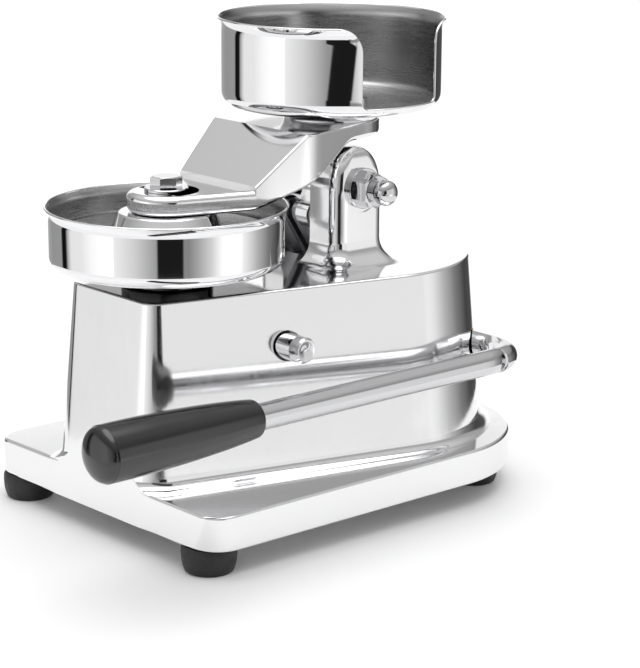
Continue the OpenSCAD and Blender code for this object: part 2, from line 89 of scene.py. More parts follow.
def tidy_mesh(mesh, sharp):
    """Joins doubled points, turns the faces outward and marks edges past an angle as sharp."""
    work = bmesh.new()
    work.from_mesh(mesh)
    bmesh.ops.remove_doubles(work, verts=work.verts, dist=2e-6)
    bmesh.ops.dissolve_degenerate(work, edges=work.edges, dist=1e-6)
    bmesh.ops.recalc_face_normals(work, faces=work.faces)
    for face in work.faces:
        face.smooth = True
    for edge in work.edges:
        if len(edge.link_faces) == 2:
            edge.smooth = edge.calc_face_angle(0) < math.radians(sharp)
    work.to_mesh(mesh)
    work.free()


def even_normals(obj):
    """Lets wide flat faces set the shading, so that only the rounded edges turn."""
    modifier = obj.modifiers.new("normals", "WEIGHTED_NORMAL")
    modifier.keep_sharp = True
    bpy.context.view_layer.update()
    obj.data = bpy.data.meshes.new_from_object(obj.evaluated_get(bpy.context.evaluated_depsgraph_get()))
    obj.modifiers.clear()


def cut(obj, *tools):
    """Cuts the tool objects out of obj and removes them."""
    for tool in tools:
        modifier = obj.modifiers.new("cut", "BOOLEAN")
        modifier.operation = "DIFFERENCE"
        modifier.solver = "EXACT"
        modifier.object = tool
    bpy.context.view_layer.update()
    shape = bpy.data.meshes.new_from_object(obj.evaluated_get(bpy.context.evaluated_depsgraph_get()))
    obj.modifiers.clear()
    shape.materials.clear()
    for material in obj.data.materials:
        shape.materials.append(material)
    obj.data = shape
    for polygon in obj.data.polygons:
        polygon.material_index = 0
    tidy_mesh(obj.data, 30)
    for tool in tools:
        bpy.data.objects.remove(tool)


def grid_faces(rows, columns, closed):
    """Quads between rows of points that all have the same number of columns."""
    faces = []
    for r in range(rows - 1):
        for c in range(columns if closed else columns - 1):
            d = (c + 1) % columns
            faces.append((r * columns + c, r * columns + d, (r + 1) * columns + d, (r + 1) * columns + c))
    return faces


def loft(rings, close_start=True, close_end=True, wrap=False):
    """Points and faces of a skin over closed rings."""
    columns = len(rings[0])
    points = np.concatenate([np.asarray(r, float) for r in rings])
    faces = grid_faces(len(rings), columns, True)
    if wrap:
        last = (len(rings) - 1) * columns
        faces += [(last + c, last + (c + 1) % columns, (c + 1) % columns, c) for c in range(columns)]
        return points, faces
    if close_start:
        faces.append(tuple(range(columns))[::-1])
    if close_end:
        faces.append(tuple(range((len(rings) - 1) * columns, len(rings) * columns)))
    return points, faces


def lathe(profile, steps=96, closed=False):
    """Turns (radius, height) points round Z. The skin closes on the axis where the radius is 0."""
    angles = np.arange(steps) * TAU / steps
    rings = [np.stack([r * np.cos(angles), r * np.sin(angles), np.full(steps, z)], 1) for r, z in profile]
    return loft(rings, close_start=profile[0][0] > 0 and not closed,
                close_end=profile[-1][0] > 0 and not closed, wrap=closed)


def moved(points, at=(0, 0, 0), turn=None):
    points = np.asarray(points, float)
    if turn is not None:
        points = points @ np.array(turn).T
    return points + np.array(at, float)


def joined(*parts):
    """One point list and face list from several."""
    points, faces, base = [], [], 0
    for p, f in parts:
        points.append(np.asarray(p, float))
        faces += [tuple(i + base for i in face) for face in f]
        base += len(p)
    return np.concatenate(points), faces


def arc(cx, cy, r, start, end, steps):
    """Points of an arc, in degrees, both ends included."""
    turn = np.radians(np.linspace(start, end, steps))
    return [(cx + r * math.cos(t), cy + r * math.sin(t)) for t in turn]


def tube(path, radius, sides=24, caps=True):
    """A round tube along a path. The radius is one number or one per point."""
    path = np.asarray(path, float)
    radii = np.full(len(path), radius) if np.isscalar(radius) else np.asarray(radius, float)
    tangents = np.gradient(path, axis=0)
    tangents /= np.linalg.norm(tangents, axis=1)[:, None]
    side = np.cross(tangents[0], (0.3, 0.2, 1.0))
    angles = np.arange(sides) * TAU / sides
    rings = []
    for p, t, r in zip(path, tangents, radii):
        side = side - t * np.dot(side, t)
        side /= np.linalg.norm(side)
        up = np.cross(t, side)
        rings.append(p + r * (np.outer(np.cos(angles), side) + np.outer(np.sin(angles), up)))
    return loft(rings, caps, caps)


def loop_tube(path, radius, sides=12):
    """A round bead along a closed path."""
    path = np.asarray(path, float)
    tangents = np.roll(path, -1, 0) - np.roll(path, 1, 0)
    tangents /= np.linalg.norm(tangents, axis=1)[:, None]
    angles = np.arange(sides) * TAU / sides
    rings = []
    side = np.cross(tangents[0], (0.1, 0.2, 1.0))
    for p, t in zip(path, tangents):
        side = side - t * np.dot(side, t)
        side /= np.linalg.norm(side)
        up = np.cross(t, side)
        rings.append(p + radius * (np.outer(np.cos(angles), side) + np.outer(np.sin(angles), up)))
    return loft(rings, wrap=True)


def hexagon(across, height, chamfer=25, hole=0.0):
    """Hexagonal head standing on Z = 0 with its top corners turned off at the chamfer angle."""
    steps = 96
    turns = np.arange(steps) * TAU / steps
    edge = across / 2 / np.cos((turns + math.pi / 6) % (math.pi / 3) - math.pi / 6)
    slope = math.tan(math.radians(chamfer))

    def ring(radii, drop):
        return np.stack([radii * np.cos(turns), radii * np.sin(turns), height - drop], 1)

    flat_r = across / 2 * 0.96
    rings = [ring(edge, np.full(steps, height))]
    rings.append(ring(edge, (edge - flat_r) * slope))
    for share in (0.5, 0.0):
        radii = flat_r + (edge - flat_r) * share
        rings.append(ring(radii, (radii - flat_r) * slope))
    rings.append(ring(np.full(steps, max(hole, flat_r * 0.4)), np.zeros(steps)))
    if hole:
        rings.append(ring(np.full(steps, hole), np.full(steps, height)))
        return loft(rings, wrap=True)
    return loft(rings)


# ---------------------------------------------------------------- materials


def new_material(name, color, metallic, roughness):
    material = bpy.data.materials.new(name)
    material.use_nodes = True
    shader = material.node_tree.nodes["Principled BSDF"]
    shader.inputs["Base Color"].default_value = (*color, 1)
    shader.inputs["Metallic"].default_value = metallic
    shader.inputs["Roughness"].default_value = roughness
    return material, material.node_tree, shader


def noise(tree, scale, detail=3.0, stretch=(1, 1, 1)):
    """Noise in the object's own coordinates, stretched along its axes."""
    coords = tree.nodes.new("ShaderNodeTexCoord")
    mapping = tree.nodes.new("ShaderNodeMapping")
    mapping.inputs["Scale"].default_value = stretch
    texture = tree.nodes.new("ShaderNodeTexNoise")
    texture.inputs["Scale"].default_value = scale
    texture.inputs["Detail"].default_value = detail
    tree.links.new(coords.outputs["Object"], mapping.inputs["Vector"])
    tree.links.new(mapping.outputs["Vector"], texture.inputs["Vector"])
    return texture.outputs["Fac"]


def spread(tree, source, low, high):
    """Maps noise from its middle range to low and high."""
    ramp = tree.nodes.new("ShaderNodeMapRange")
    ramp.inputs["From Min"].default_value = 0.3
    ramp.inputs["From Max"].default_value = 0.7
    ramp.inputs["To Min"].default_value = low
    ramp.inputs["To Max"].default_value = high
    tree.links.new(source, ramp.inputs["Value"])
    return ramp.outputs["Result"]


def bump(tree, shader, source, strength, distance):
    node = tree.nodes.new("ShaderNodeBump")
    node.inputs["Strength"].default_value = strength
    node.inputs["Distance"].default_value = distance
    tree.links.new(source, node.inputs["Height"])
    tree.links.new(node.outputs["Normal"], shader.inputs["Normal"])


def polished_metal(name, color, rough_low, rough_high, wave=0.0, grain=(1, 1, 1), grain_scale=260.0):
    """Metal with soft polishing variation, fine directional grain and faint waviness."""
    material, tree, shader = new_material(name, color, 1.0, rough_low)
    patches = spread(tree, noise(tree, 18.0), rough_low, rough_high)
    lines = spread(tree, noise(tree, grain_scale, 2.0, grain), 0.85, 1.2)
    product = tree.nodes.new("ShaderNodeMath")
    product.operation = "MULTIPLY"
    tree.links.new(patches, product.inputs[0])
    tree.links.new(lines, product.inputs[1])
    tree.links.new(product.outputs["Value"], shader.inputs["Roughness"])
    if wave:
        bump(tree, shader, noise(tree, 14.0, 1.0), wave, 0.002)
    return material


def cast_aluminium():
    return polished_metal("cast_aluminium", (0.86, 0.86, 0.865), 0.075, 0.125, wave=0.03, grain=(1, 1, 0.2))


def polished_steel():
    return polished_metal("polished_steel", (0.84, 0.84, 0.85), 0.015, 0.04, grain=(0.3, 0.3, 4))


def brushed_inside():
    return polished_metal("brushed_inside", (0.50, 0.50, 0.50), 0.20, 0.34, grain=(0.3, 0.3, 5),
                          grain_scale=180.0)


def plated_steel():
    return polished_metal("plated_steel", (0.66, 0.66, 0.67), 0.05, 0.10)


def machined_steel():
    return polished_metal("machined_steel", (0.48, 0.48, 0.50), 0.22, 0.4, grain=(4, 0.3, 0.3))


def bush_bronze():
    return polished_metal("bush_bronze", (0.60, 0.42, 0.22), 0.2, 0.35)


def painted_shade_steel():
    """Steel darkened to paint the shade between the bowls and what carries them; the mirror faces nearby
    reflect this painted shade.
    """
    return polished_metal("painted_shade_steel", (0.13, 0.13, 0.13), 0.10, 0.2)


def foot_rubber():
    material, tree, shader = new_material("foot_rubber", (0.012, 0.012, 0.012), 0.0, 0.5)
    tree.links.new(spread(tree, noise(tree, 220.0), 0.38, 0.62), shader.inputs["Roughness"])
    bump(tree, shader, noise(tree, 900.0, 2.0), 0.25, 0.0004)
    return material


def grip_plastic():
    material, tree, shader = new_material("grip_plastic", (0.004, 0.004, 0.004), 0.0, 0.16)
    shader.inputs["Specular IOR Level"].default_value = 0.85
    tree.links.new(spread(tree, noise(tree, 60.0), 0.13, 0.22), shader.inputs["Roughness"])
    bump(tree, shader, noise(tree, 1300.0, 2.0), 0.12, 0.0002)
    return material


MAKERS = [cast_aluminium, polished_steel, brushed_inside, plated_steel, machined_steel,
          bush_bronze, foot_rubber, grip_plastic, painted_shade_steel]
LOOKS = {maker.__name__: maker() for maker in MAKERS}

for part in frame["record"]["subparts"]:
    cad = frame["nodes"][part["node"]]
    cad.data.materials.clear()
    cad.data.materials.append(LOOKS[part["material_slot"]])
    for face in cad.data.polygons:
        face.material_index = 0
    cad.data.shade_smooth()
    cad.data.set_sharp_from_angle(angle=math.radians(30))

# ---------------------------------------------------------------- base casting
DRAFT = 0.085
REAR_X, REAR_R = 132.0, 77.5
CORNER_X, CORNER_Y, CORNER_R = -30.5, 29.0, 11.0
TAPER = math.degrees(math.asin((REAR_R - CORNER_R) / math.hypot(REAR_X - CORNER_X, CORNER_Y))
                     - math.atan2(CORNER_Y, REAR_X - CORNER_X))
FLANGE_HALF, FLANGE_CORNER = 104.0, 18.0
FLANGE_REAR_X, FLANGE_REAR_R = 142.0, 80.0
FRONT_N, BEND_N, SIDE_N, REAR_N = 14, 28, 24, 40


def front_x(z):
    return CORNER_X - CORNER_R - DRAFT * (BODY_TOP - z)


def both_halves(half):
    """A closed ring from its half on the positive side, both ends on the middle plane."""
    return half + [(x, -y) for x, y in half[-2:0:-1]]


def spaced(a, b, steps):
    """Points from a up to but not including b."""
    return [(a[0] + (b[0] - a[0]) * i / steps, a[1] + (b[1] - a[1]) * i / steps) for i in range(steps)]


def body_ring(z, grow):
    """Outline of the body at a height, moved outward by grow except on the shared front plane."""
    r_corner = CORNER_R + DRAFT * (BODY_TOP - z) + grow
    r_rear = REAR_R + DRAFT * (BODY_TOP - z) + grow
    front = front_x(z)
    start = math.degrees(math.acos(max(-1.0, (front - CORNER_X) / r_corner)))
    if grow < 0:
        front, start = CORNER_X - r_corner, 180.0
    bend = arc(CORNER_X, CORNER_Y, r_corner, start, 90 + TAPER, BEND_N)
    rear = arc(REAR_X, 0, r_rear, 90 + TAPER, 0, REAR_N)
    half = spaced((front, 0), bend[0], FRONT_N) + bend[:-1] + spaced(bend[-1], rear[0], SIDE_N) + rear
    # The flange is narrow behind the body, so the hollow curve at the body's foot stops at its edge there.
    half = [(min(x, FLANGE_REAR_X + FLANGE_REAR_R - 1.65), y) for x, y in half]
    return [(x, y, z) for x, y in both_halves(half)]


def flange_ring(z, inset, edge_z, whole=False):
    """Outline of the flange, moved inward by inset. Unless whole, its front middle stays on the body's."""
    front = front_x(edge_z)
    shift = inset if whole else 0.0
    half_w = FLANGE_HALF - inset
    r_corner = FLANGE_CORNER - inset
    centre_x = front_x(FOOT_H) + FLANGE_CORNER
    middle_y = CORNER_Y + CORNER_R
    start = math.degrees(math.acos(max(-1.0, (front + inset - centre_x) / r_corner)))
    corner = arc(centre_x, FLANGE_HALF - FLANGE_CORNER, r_corner, start, 90, BEND_N // 2)
    rear_y = FLANGE_HALF - FLANGE_REAR_R
    rear = arc(FLANGE_REAR_X, rear_y, FLANGE_REAR_R - inset, 90, 0, REAR_N - 8)
    half = spaced((front + shift, 0), (front + shift, middle_y), FRONT_N)
    straight = spaced((front, middle_y), corner[0], BEND_N - BEND_N // 2)
    for x, y in straight:
        blend = min(1.0, max(0.0, (y - middle_y) / 12.0))
        half.append((front + shift + (inset - shift) * blend, y))
    half += corner[:-1] + spaced((centre_x, half_w), (FLANGE_REAR_X, half_w), SIDE_N) + rear
    end_x = FLANGE_REAR_X + FLANGE_REAR_R - inset
    half += spaced((end_x, rear_y), (end_x, 0), 8)[1:]
    half.append((end_x, 0))
    return [(x, y, z) for x, y in both_halves(half)]


def casting_rings():
    edge_r, fillet_r, lip_r = 1.6, 7.0, 1.6
    rings = [body_ring(BODY_TOP, -8.0)]
    for a in range(0, 91, 15):
        drop = edge_r * (1 - math.cos(math.radians(a)))
        rings.append(body_ring(BODY_TOP - drop, -edge_r * (1 - math.sin(math.radians(a)))))
    foot = FLANGE_TOP + fillet_r
    for z in np.linspace(BODY_TOP - edge_r, foot, 10)[1:]:
        rings.append(body_ring(z, 0.0))
    for a in range(10, 91, 10):
        drop = fillet_r * math.sin(math.radians(a))
        rings.append(body_ring(foot - drop, fillet_r * (1 - math.cos(math.radians(a)))))
    for a in range(0, 91, 15):
        z = FLANGE_TOP - lip_r * (1 - math.cos(math.radians(a)))
        rings.append(flange_ring(z, lip_r * (1 - math.sin(math.radians(a))), z))
    low = FOOT_H + 1.0
    for z in np.linspace(FLANGE_TOP - lip_r, low, 5)[1:]:
        rings.append(flange_ring(z, 0.0, z))
    for a in (30, 60, 90):
        z = low - math.sin(math.radians(a))
        rings.append(flange_ring(z, 1 - math.cos(math.radians(a)), z))
    rings.append(flange_ring(FOOT_H, 5.0, FOOT_H, whole=True))
    rings.append(flange_ring(FLANGE_TOP - 5, 5.0, FLANGE_TOP - 5, whole=True))
    rings.append(body_ring(FLANGE_TOP - 5, -5.0))
    for z in np.linspace(FLANGE_TOP, BODY_TOP - 6, 4):
        rings.append(body_ring(z, -5.0))
    return rings


def post_half(side):
    """One ear of the post, with a hollow curve at its foot and a rounded top, on one side of the slot."""
    slot, half, front, rear, corner, flare, top_r = 12.0, 36.0, 97.0, 135.0, 8.0, 14.0, 24.0
    rings = []
    heights = [BODY_TOP - 0.4] + [BODY_TOP + flare * (1 - math.cos(math.radians(a))) for a in range(0, 91, 9)]
    heights += list(np.linspace(BODY_TOP + flare, AXLE[1] - 6, 5)[1:])
    heights += [AXLE[1] - 6 + (top_r + 6) * math.sin(math.radians(a)) for a in range(6, 91, 6)]
    for z in heights:
        lift = min(1.0, max(0.0, (z - BODY_TOP) / flare))
        grow = flare * (1 - math.sqrt(max(0.0, 1 - (1 - lift) ** 2)))
        up = max(0.0, (z - AXLE[1] + 6) / (top_r + 6))
        shrink = (1 - min(1.0, up) ** 2.6) ** (1 / 2.6)
        reach_front = (AXLE[0] - front) * shrink
        reach_rear = (rear - AXLE[0]) * shrink
        outer = half - (1 - shrink) * 9.0
        x0, x1 = AXLE[0] - reach_front - grow, AXLE[0] + reach_rear + grow
        y1 = outer + grow
        r = min(corner + grow, (x1 - x0) / 2 * 0.98, y1 - slot - 0.5)
        ring = [(x0, slot)] + arc(x0 + r, y1 - r, r, 180, 90, 14)
        ring += arc(x1 - r, y1 - r, r, 90, 0, 14) + [(x1, slot)]
        rings.append([(x, y * side, z) for x, y in ring])
    return loft(rings)


def rod_along_y(at, radius, y0, y1, steps=64):
    points, faces = lathe([(radius, y0), (radius, y1)], steps)
    turned = np.stack([points[:, 0] + at[0], points[:, 2], points[:, 1] + at[1]], 1)
    return turned, faces


def plain_tool(name, shape):
    mesh = bpy.data.meshes.new(name)
    mesh.from_pydata([tuple(p) for p in to_row(shape[0])], [], shape[1])
    tidy_mesh(mesh, 30)
    obj = bpy.data.objects.new(name, mesh)
    bpy.context.scene.collection.objects.link(obj)
    return obj


def box_shape(lo, hi):
    ring = [(lo[0], lo[1]), (hi[0], lo[1]), (hi[0], hi[1]), (lo[0], hi[1])]
    return loft([[(x, y, z) for x, y in ring] for z in (lo[2], hi[2])])


def build_base():
    rings = casting_rings()
    base = add_mesh("casting_shell", *loft(rings), "base", ["base_casting"], "cast_aluminium",
                    LOOKS["cast_aluminium"], sharp=40)
    cut(base,
        plain_tool("pin_hole", rod_along_y(SIDE_PIN, 8.8, -120, -50)),
        plain_tool("far_pin_hole", rod_along_y(SIDE_PIN, 7.6, 50, 120)),
        plain_tool("rod_hole", rod_along_y(SHAFT, 8.6, -120, -40)),
        plain_tool("rod_seat", rod_along_y(SHAFT, 8.6, 40, 56)),
        plain_tool("bush_hole", lathe([(8.95, BODY_TOP - 9), (8.95, BODY_TOP + 3)], 64)),
        plain_tool("link_hole", box_shape((105, -12, BODY_TOP - 12), (143, 12, BODY_TOP + 5))))
    even_normals(base)
    for side, label in ((-1, "near"), (1, "far")):
        ear = add_mesh("post_ear_" + label, *post_half(side), "base", [], "cast_aluminium",
                       LOOKS["cast_aluminium"], sharp=40)
        inner, outer = sorted((side * 35.0, side * 60.0))
        cut(ear, plain_tool("spot_" + label, rod_along_y(AXLE, 14.5, inner, outer, 96)))
        even_normals(ear)


build_base()

# ---------------------------------------------------------------- bowls


# The finger opening of the upper bowl: its half width and the turn of its flared top corners in degrees, the
# height of its lower edge, and the radius of its lower corners and the drop of its flared ones.
FINGER_HALF, FINGER_FLARE = 26.3, 12.7
FINGER_LOW, FINGER_CORNER, FINGER_DROP = 5.0, 4.0, 14.0


def bowl_profile(r, height, corner, lip, wall=1.5):
    """Outer and inner (radius, height) lines of a bowl wall, from the floor's edge up to the lip."""
    outer = [(x, y) for x, y in arc(r - corner, corner, corner, -90, 0, 10)]
    lip_h = 6.5
    for t in np.linspace(0, 1, 12):
        outer.append((r + lip * (1 - math.cos(t * math.pi / 2)) ** 1.3, height - wall / 2 - lip_h * (1 - t)))
    inner = [(x, y) for x, y in arc(r - corner, corner, corner - wall, -90, 0, 10)]
    for x, y in outer[10:]:
        inner.append((x - wall, y))
    return outer, inner


def finger_top(turn, r, height):
    """Height of the wall's edge at an angle from the middle of the finger opening, in degrees."""
    side = abs(turn)
    half, flare_a, low, small = FINGER_HALF, FINGER_FLARE, FINGER_LOW, FINGER_CORNER
    small_a = math.degrees(small / r)
    if side >= half + flare_a:
        return height
    if side >= half:
        share = (half + flare_a - side) / flare_a
        return height - FINGER_DROP * (1 - math.sqrt(max(0.0, 1 - share ** 2)))
    if side > half - small_a:
        share = (side - half + small_a) / small_a
        return low + small * (1 - math.sqrt(max(0.0, 1 - share ** 2)))
    return low


def wall_radius(line, z):
    """Radius of a profile line at a height."""
    heights = [p[1] for p in line]
    return float(np.interp(z, heights, [p[0] for p in line]))


def holder_skin(line, height, top_z, centre_turn):
    """The holder's wall over one profile line, with the finger opening left out."""
    half, flare_a = FINGER_HALF, FINGER_FLARE
    r = line[12][0]
    small_a = math.degrees(FINGER_CORNER / r)
    low = FINGER_LOW
    far = list(np.linspace(half + flare_a, 180, 60))
    flare = [half + flare_a * (1 - math.cos(math.radians(a))) for a in np.linspace(0, 90, 16)]
    wall_turns = sorted(set(np.round(flare + far, 6)))
    corner_turns = [half - small_a * math.sin(math.radians(a)) for a in np.linspace(0, 90, 8)][::-1]
    parts = []
    rows = 22
    for sign in (-1, 1):
        for turns, edge in ((wall_turns, True), (corner_turns, False)):
            grid = []
            for turn in turns:
                inward = turn if edge else turn - 1e-6
                top = top_z if turn >= half + flare_a else min(finger_top(inward, r, height), top_z)
                column = []
                for k in range(rows):
                    z = low + (top - low) * k / (rows - 1)
                    a = math.radians(centre_turn + sign * turn)
                    q = wall_radius(line, z)
                    column.append((q * math.cos(a), q * math.sin(a), z))
                grid.append(column)
            points = np.array(grid).reshape(-1, 3)
            parts.append((points, grid_faces(len(grid), rows, False)))
    base_z = [p[1] for p in line if p[1] < low] + [low]
    turns = sorted({round(s * t, 6) for s in (-1, 1) for t in wall_turns + corner_turns}
                   | set(np.round(np.linspace(-half + small_a, half - small_a, 20), 6)))
    turns = [t for t in turns if t > -180]
    rings = []
    for z in base_z:
        q = wall_radius(line, z)
        around = [math.radians(centre_turn + t) for t in turns]
        rings.append([(q * math.cos(a), q * math.sin(a), z) for a in around])
    parts.append(loft(rings, False, False))
    return joined(*parts)


def holder_edge(line, inner, top_z, centre_turn):
    """The path of the rolled edge round the rim and down round the finger opening."""
    half, flare_a = FINGER_HALF, FINGER_FLARE
    r = line[12][0]
    small_a = math.degrees(FINGER_CORNER / r)
    path = [(t, top_z) for t in np.linspace(180, half + flare_a, 70)]
    path += [(half + flare_a * (1 - math.sin(math.radians(a))), top_z - 14 * (1 - math.cos(math.radians(a))))
             for a in range(8, 91, 8)]
    path += [(half, z) for z in np.linspace(top_z - 14, 9, 12)]
    path += [(half - small_a * (1 - math.cos(math.radians(a))), 9 - 4 * math.sin(math.radians(a)))
             for a in range(15, 91, 15)]
    path += [(t, 5.0) for t in np.linspace(half - small_a, 0, 14)[1:]]
    path += [(-t, z) for t, z in path[-2:0:-1]]
    points = []
    for t, z in path:
        q = (wall_radius(line, z) + wall_radius(inner, z)) / 2
        a = math.radians(centre_turn + t)
        points.append((q * math.cos(a), q * math.sin(a), z))
    return points


def disc_floor(r, z0, z1, hole):
    return lathe([(hole, z0), (r, z0), (r, z1), (hole, z1)], 128, closed=True)


def turned_skin(line, steps=160):
    """An open turned surface over (radius, height) points."""
    angles = np.arange(steps) * TAU / steps
    return loft([np.stack([r * np.cos(angles), r * np.sin(angles), np.full(steps, z)], 1) for r, z in line],
                False, False)


def build_lower_bowl():
    floor_z = bowl_lo.z / MM
    height = (bowl_hi.z - bowl_lo.z) / MM
    outer, inner = bowl_profile(67.0, height, 7.0, 2.1)
    rim = arc(outer[-1][0] - 0.75, outer[-1][1], 0.75, 0, 180, 8)
    for name, line, look in (("bowl_outside", outer + rim[1:], "polished_steel"),
                             # The bowl's underside wears painted shade: the darkened steel.
                             ("bowl_underside", [(9.1, 0.0), outer[0]], "painted_shade_steel"),
                             ("bowl_inside", [rim[-1]] + inner[::-1] + [(9.1, 1.5), (9.1, 0.0)],
                              "brushed_inside")):
        points, faces = turned_skin(line)
        nodes = ["lower_bowl"] if name == "bowl_outside" else []
        add_mesh(name, moved(points, (0, 0, floor_z)), faces, "base", nodes, "polished_steel",
                 LOOKS[look], 50)


def build_holder():
    floor_z = holder_lo.z / MM
    height = (holder_hi.z - holder_lo.z) / MM
    outer, inner = bowl_profile(65.5, height, 8.0, 2.1)
    top_z = outer[-1][1]
    shapes = (("paper_bowl_outside", holder_skin(outer, height, top_z, -90), "polished_steel"),
              ("paper_bowl_inside", holder_skin(inner, height, top_z, -90), "brushed_inside"),
              ("paper_bowl_edge", loop_tube(holder_edge(outer, inner, top_z, -90), 0.74), "polished_steel"),
              ("paper_bowl_floor", disc_floor(65.5 - 8.0 + 0.02, 0.0, 1.5, 2.0), "brushed_inside"))
    for name, (points, faces), look in shapes:
        nodes = ["paper_holder"] if name == "paper_bowl_outside" else []
        add_mesh(name, moved(points, (HOLDER_X, 0, floor_z)), faces, "press_arm", nodes, "polished_steel",
                 LOOKS[look], 60)


build_lower_bowl()
build_holder()

# ---------------------------------------------------------------- arm and presser
BAR_TOP, BLOCK_TOP, ARM_BOTTOM = 192.7, 222.0, 181.0
LIP_X, LIP_Z, BROW_X = 37.0, 195.0, 68.7


def smoothed(x, xs, ys, reach):
    """A broken line read at x, averaged over a reach so that its corners are rounded."""
    return float(np.mean(np.interp(np.linspace(x - reach, x + reach, 15), xs, ys)))


def arm_section(x, top, edge_top):
    """Rounded rectangle of the arm across its length."""
    half = smoothed(x, [-20, -6.4, 42, 71, 130.3], [17.5, 21.6, 36, 43, 28.2], 5.0)
    if x > 130.3:
        half = math.sqrt(max(0.01, 29.0 ** 2 - (x - 123.5) ** 2))
    bottom = smoothed(x, [38, 75, 91.5, 108], [ARM_BOTTOM, 193.5, 201.6, 212.0], 5.0)
    low = min(4.0, half * 0.6, (top - bottom) * 0.45)
    high = min(edge_top, half * 0.6, (top - bottom) * 0.45)
    ring = arc(half - low, bottom + low, low, -90, 0, 8) + arc(half - high, top - high, high, 0, 90, 8)
    ring += arc(high - half, top - high, high, 90, 180, 8) + arc(low - half, bottom + low, low, 180, 270, 8)
    return [(x, y, z) for y, z in ring]


def build_arm():
    rings = [arm_section(x, BAR_TOP, 4.0) for x in np.linspace(-6.4, LIP_X, 14)]
    rings += [arm_section(x, LIP_Z + (x - LIP_X) * (BLOCK_TOP - LIP_Z) / (BROW_X - LIP_X), 1.6)
              for x in np.linspace(LIP_X + 0.05, BROW_X, 12)]
    rings += [arm_section(x, BLOCK_TOP, 1.6) for x in np.linspace(BROW_X, 130.3, 16)[1:]]
    rings += [arm_section(123.5 + 29.0 * math.sin(math.radians(a)), BLOCK_TOP, 1.6) for a in range(18, 90, 6)]
    rings.append(arm_section(152.45, BLOCK_TOP, 1.6))
    arm = add_mesh("arm_shell", *loft(rings), "press_arm", ["arm_casting"], "cast_aluminium",
                   LOOKS["cast_aluminium"], sharp=32)
    even_normals(arm)
    edge = 4.0
    profile = [(0, ARM_BOTTOM)] + [(22.5 - edge + x, ARM_BOTTOM + edge - y)
                                   for y, x in arc(0, 0, edge, 0, 90, 9)]
    profile += [(22.5 - edge + x, BAR_TOP - edge + y) for x, y in arc(0, 0, edge, 0, 90, 9)] + [(0, BAR_TOP)]
    boss = add_mesh("arm_boss", *lathe(profile, 128), "press_arm", [], "cast_aluminium",
                    LOOKS["cast_aluminium"], sharp=50)
    even_normals(boss)
    half = 4.9
    hub = across(lathe([(6.15, -11.4), (12.0, -11.4), (12.0, 11.4), (6.15, 11.4)], 96, closed=True),
                 AXLE, 0, 1)
    web = box_shape((AXLE[0] - 11.9, -half, AXLE[1] + 9.0), (AXLE[0] + 11.9, half, 214.0))
    pin = Vector((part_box("link_pins")[0].x / MM - ORIGIN.x + 4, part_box("link_pins")[1].z / MM - 4))
    eye = across(lathe([(4.2, -half), (8.1, -half), (8.1, half), (4.2, half)], 48, closed=True), pin, 0, 1)
    along = (Vector(AXLE) - pin).normalized()
    aside = Vector((-along.y, along.x)) * 8.0
    start, end = pin + along * 5.5, Vector(AXLE) - along * 9.0
    corners = [start + aside, start - aside, end - aside, end + aside]
    tongue = loft([[(c.x, y, c.y) for c in corners] for y in (-half, half)])
    add_mesh("arm_hub", *joined(hub, web, eye, tongue), "press_arm", [], "cast_aluminium",
             LOOKS["cast_aluminium"], sharp=30)


def turned_part(name, line, at, body, nodes, look, steps=128, sharp=30):
    """A turned piece standing on Z, with soft shading on its rounded edges."""
    points, faces = lathe(line, steps)
    obj = add_mesh(name, moved(points, at), faces, body, nodes, look, LOOKS[look], sharp)
    even_normals(obj)
    return obj


def build_presser():
    edge = 1.3
    line = [(0, 0)] + [(63.5 - edge + x, edge - y) for y, x in arc(0, 0, edge, 0, 90, 6)]
    line += [(63.5 - edge + x, 5 - edge + y) for x, y in arc(0, 0, edge, 0, 90, 6)] + [(0, 5)]
    turned_part("presser_disc", line, (0, 0, 164), "press_arm", ["presser_plate"], "polished_steel", 160)
    line = [(0, 0), (33.0, 0), (33.0, 1.0), (32.4, 1.6), (27.6, 11.0), (27.0, 11.7), (26.4, 12), (0, 12)]
    turned_part("presser_cone", line, (0, 0, 169), "press_arm", ["presser_hub"], "polished_steel")
    line = [(0, 0), (12.1, 0), (12.5, 0.3), (12.5, 1.6), (12.1, 2.0), (0, 2.0)]
    turned_part("bolt_washer", line, (0, 0, BAR_TOP), "press_arm", ["presser_washer"], "plated_steel", 72)
    points, faces = hexagon(16.0, 6.4)
    shank = lathe([(0, 172.0), (5.0, 172.0), (5.0, 194.8), (0, 194.8)], 32)
    add_mesh("bolt_head", *joined((moved(points, (0, 0, 194.7)), faces), shank), "press_arm",
             ["presser_bolt"],
             "plated_steel", LOOKS["plated_steel"], sharp=25)


# ---------------------------------------------------------------- axle ends, side pin, lever and feet


def across(shape, at, y, side):
    """Turns a shape standing on Z to stand outward along Y from a plane, on one side."""
    points = np.asarray(shape[0], float)
    turned = np.stack([points[:, 0] + at[0], y + side * points[:, 2], points[:, 1] + at[1]], 1)
    return turned, shape[1]


def build_axle_ends():
    nuts, washers = [], []
    dome = [(7.5 * math.cos(math.radians(a)), 10.5 + 5.5 * math.sin(math.radians(a)))
            for a in range(0, 90, 9)]
    for side in (-1, 1):
        nuts.append(across(hexagon(18.3, 10.5), AXLE, side * 45.5 - side * 7.5, side))
        nuts.append(across(lathe([(7.5, 8.0)] + dome + [(0, 16.0)], 64), AXLE, side * 45.5, side))
        line = [(0, 0), (11.7, 0), (12.0, 0.3), (12.0, 2.7), (11.7, 3.0), (0, 3.0)]
        washers.append(across(lathe(line, 72), AXLE, side * 35.0, side))
    add_mesh("nut_pair", *joined(*nuts), "base", ["acorn_nuts"], "plated_steel", LOOKS["plated_steel"],
             sharp=25)
    add_mesh("washer_pair", *joined(*washers), "base", ["axle_washers"], "plated_steel",
             LOOKS["plated_steel"])


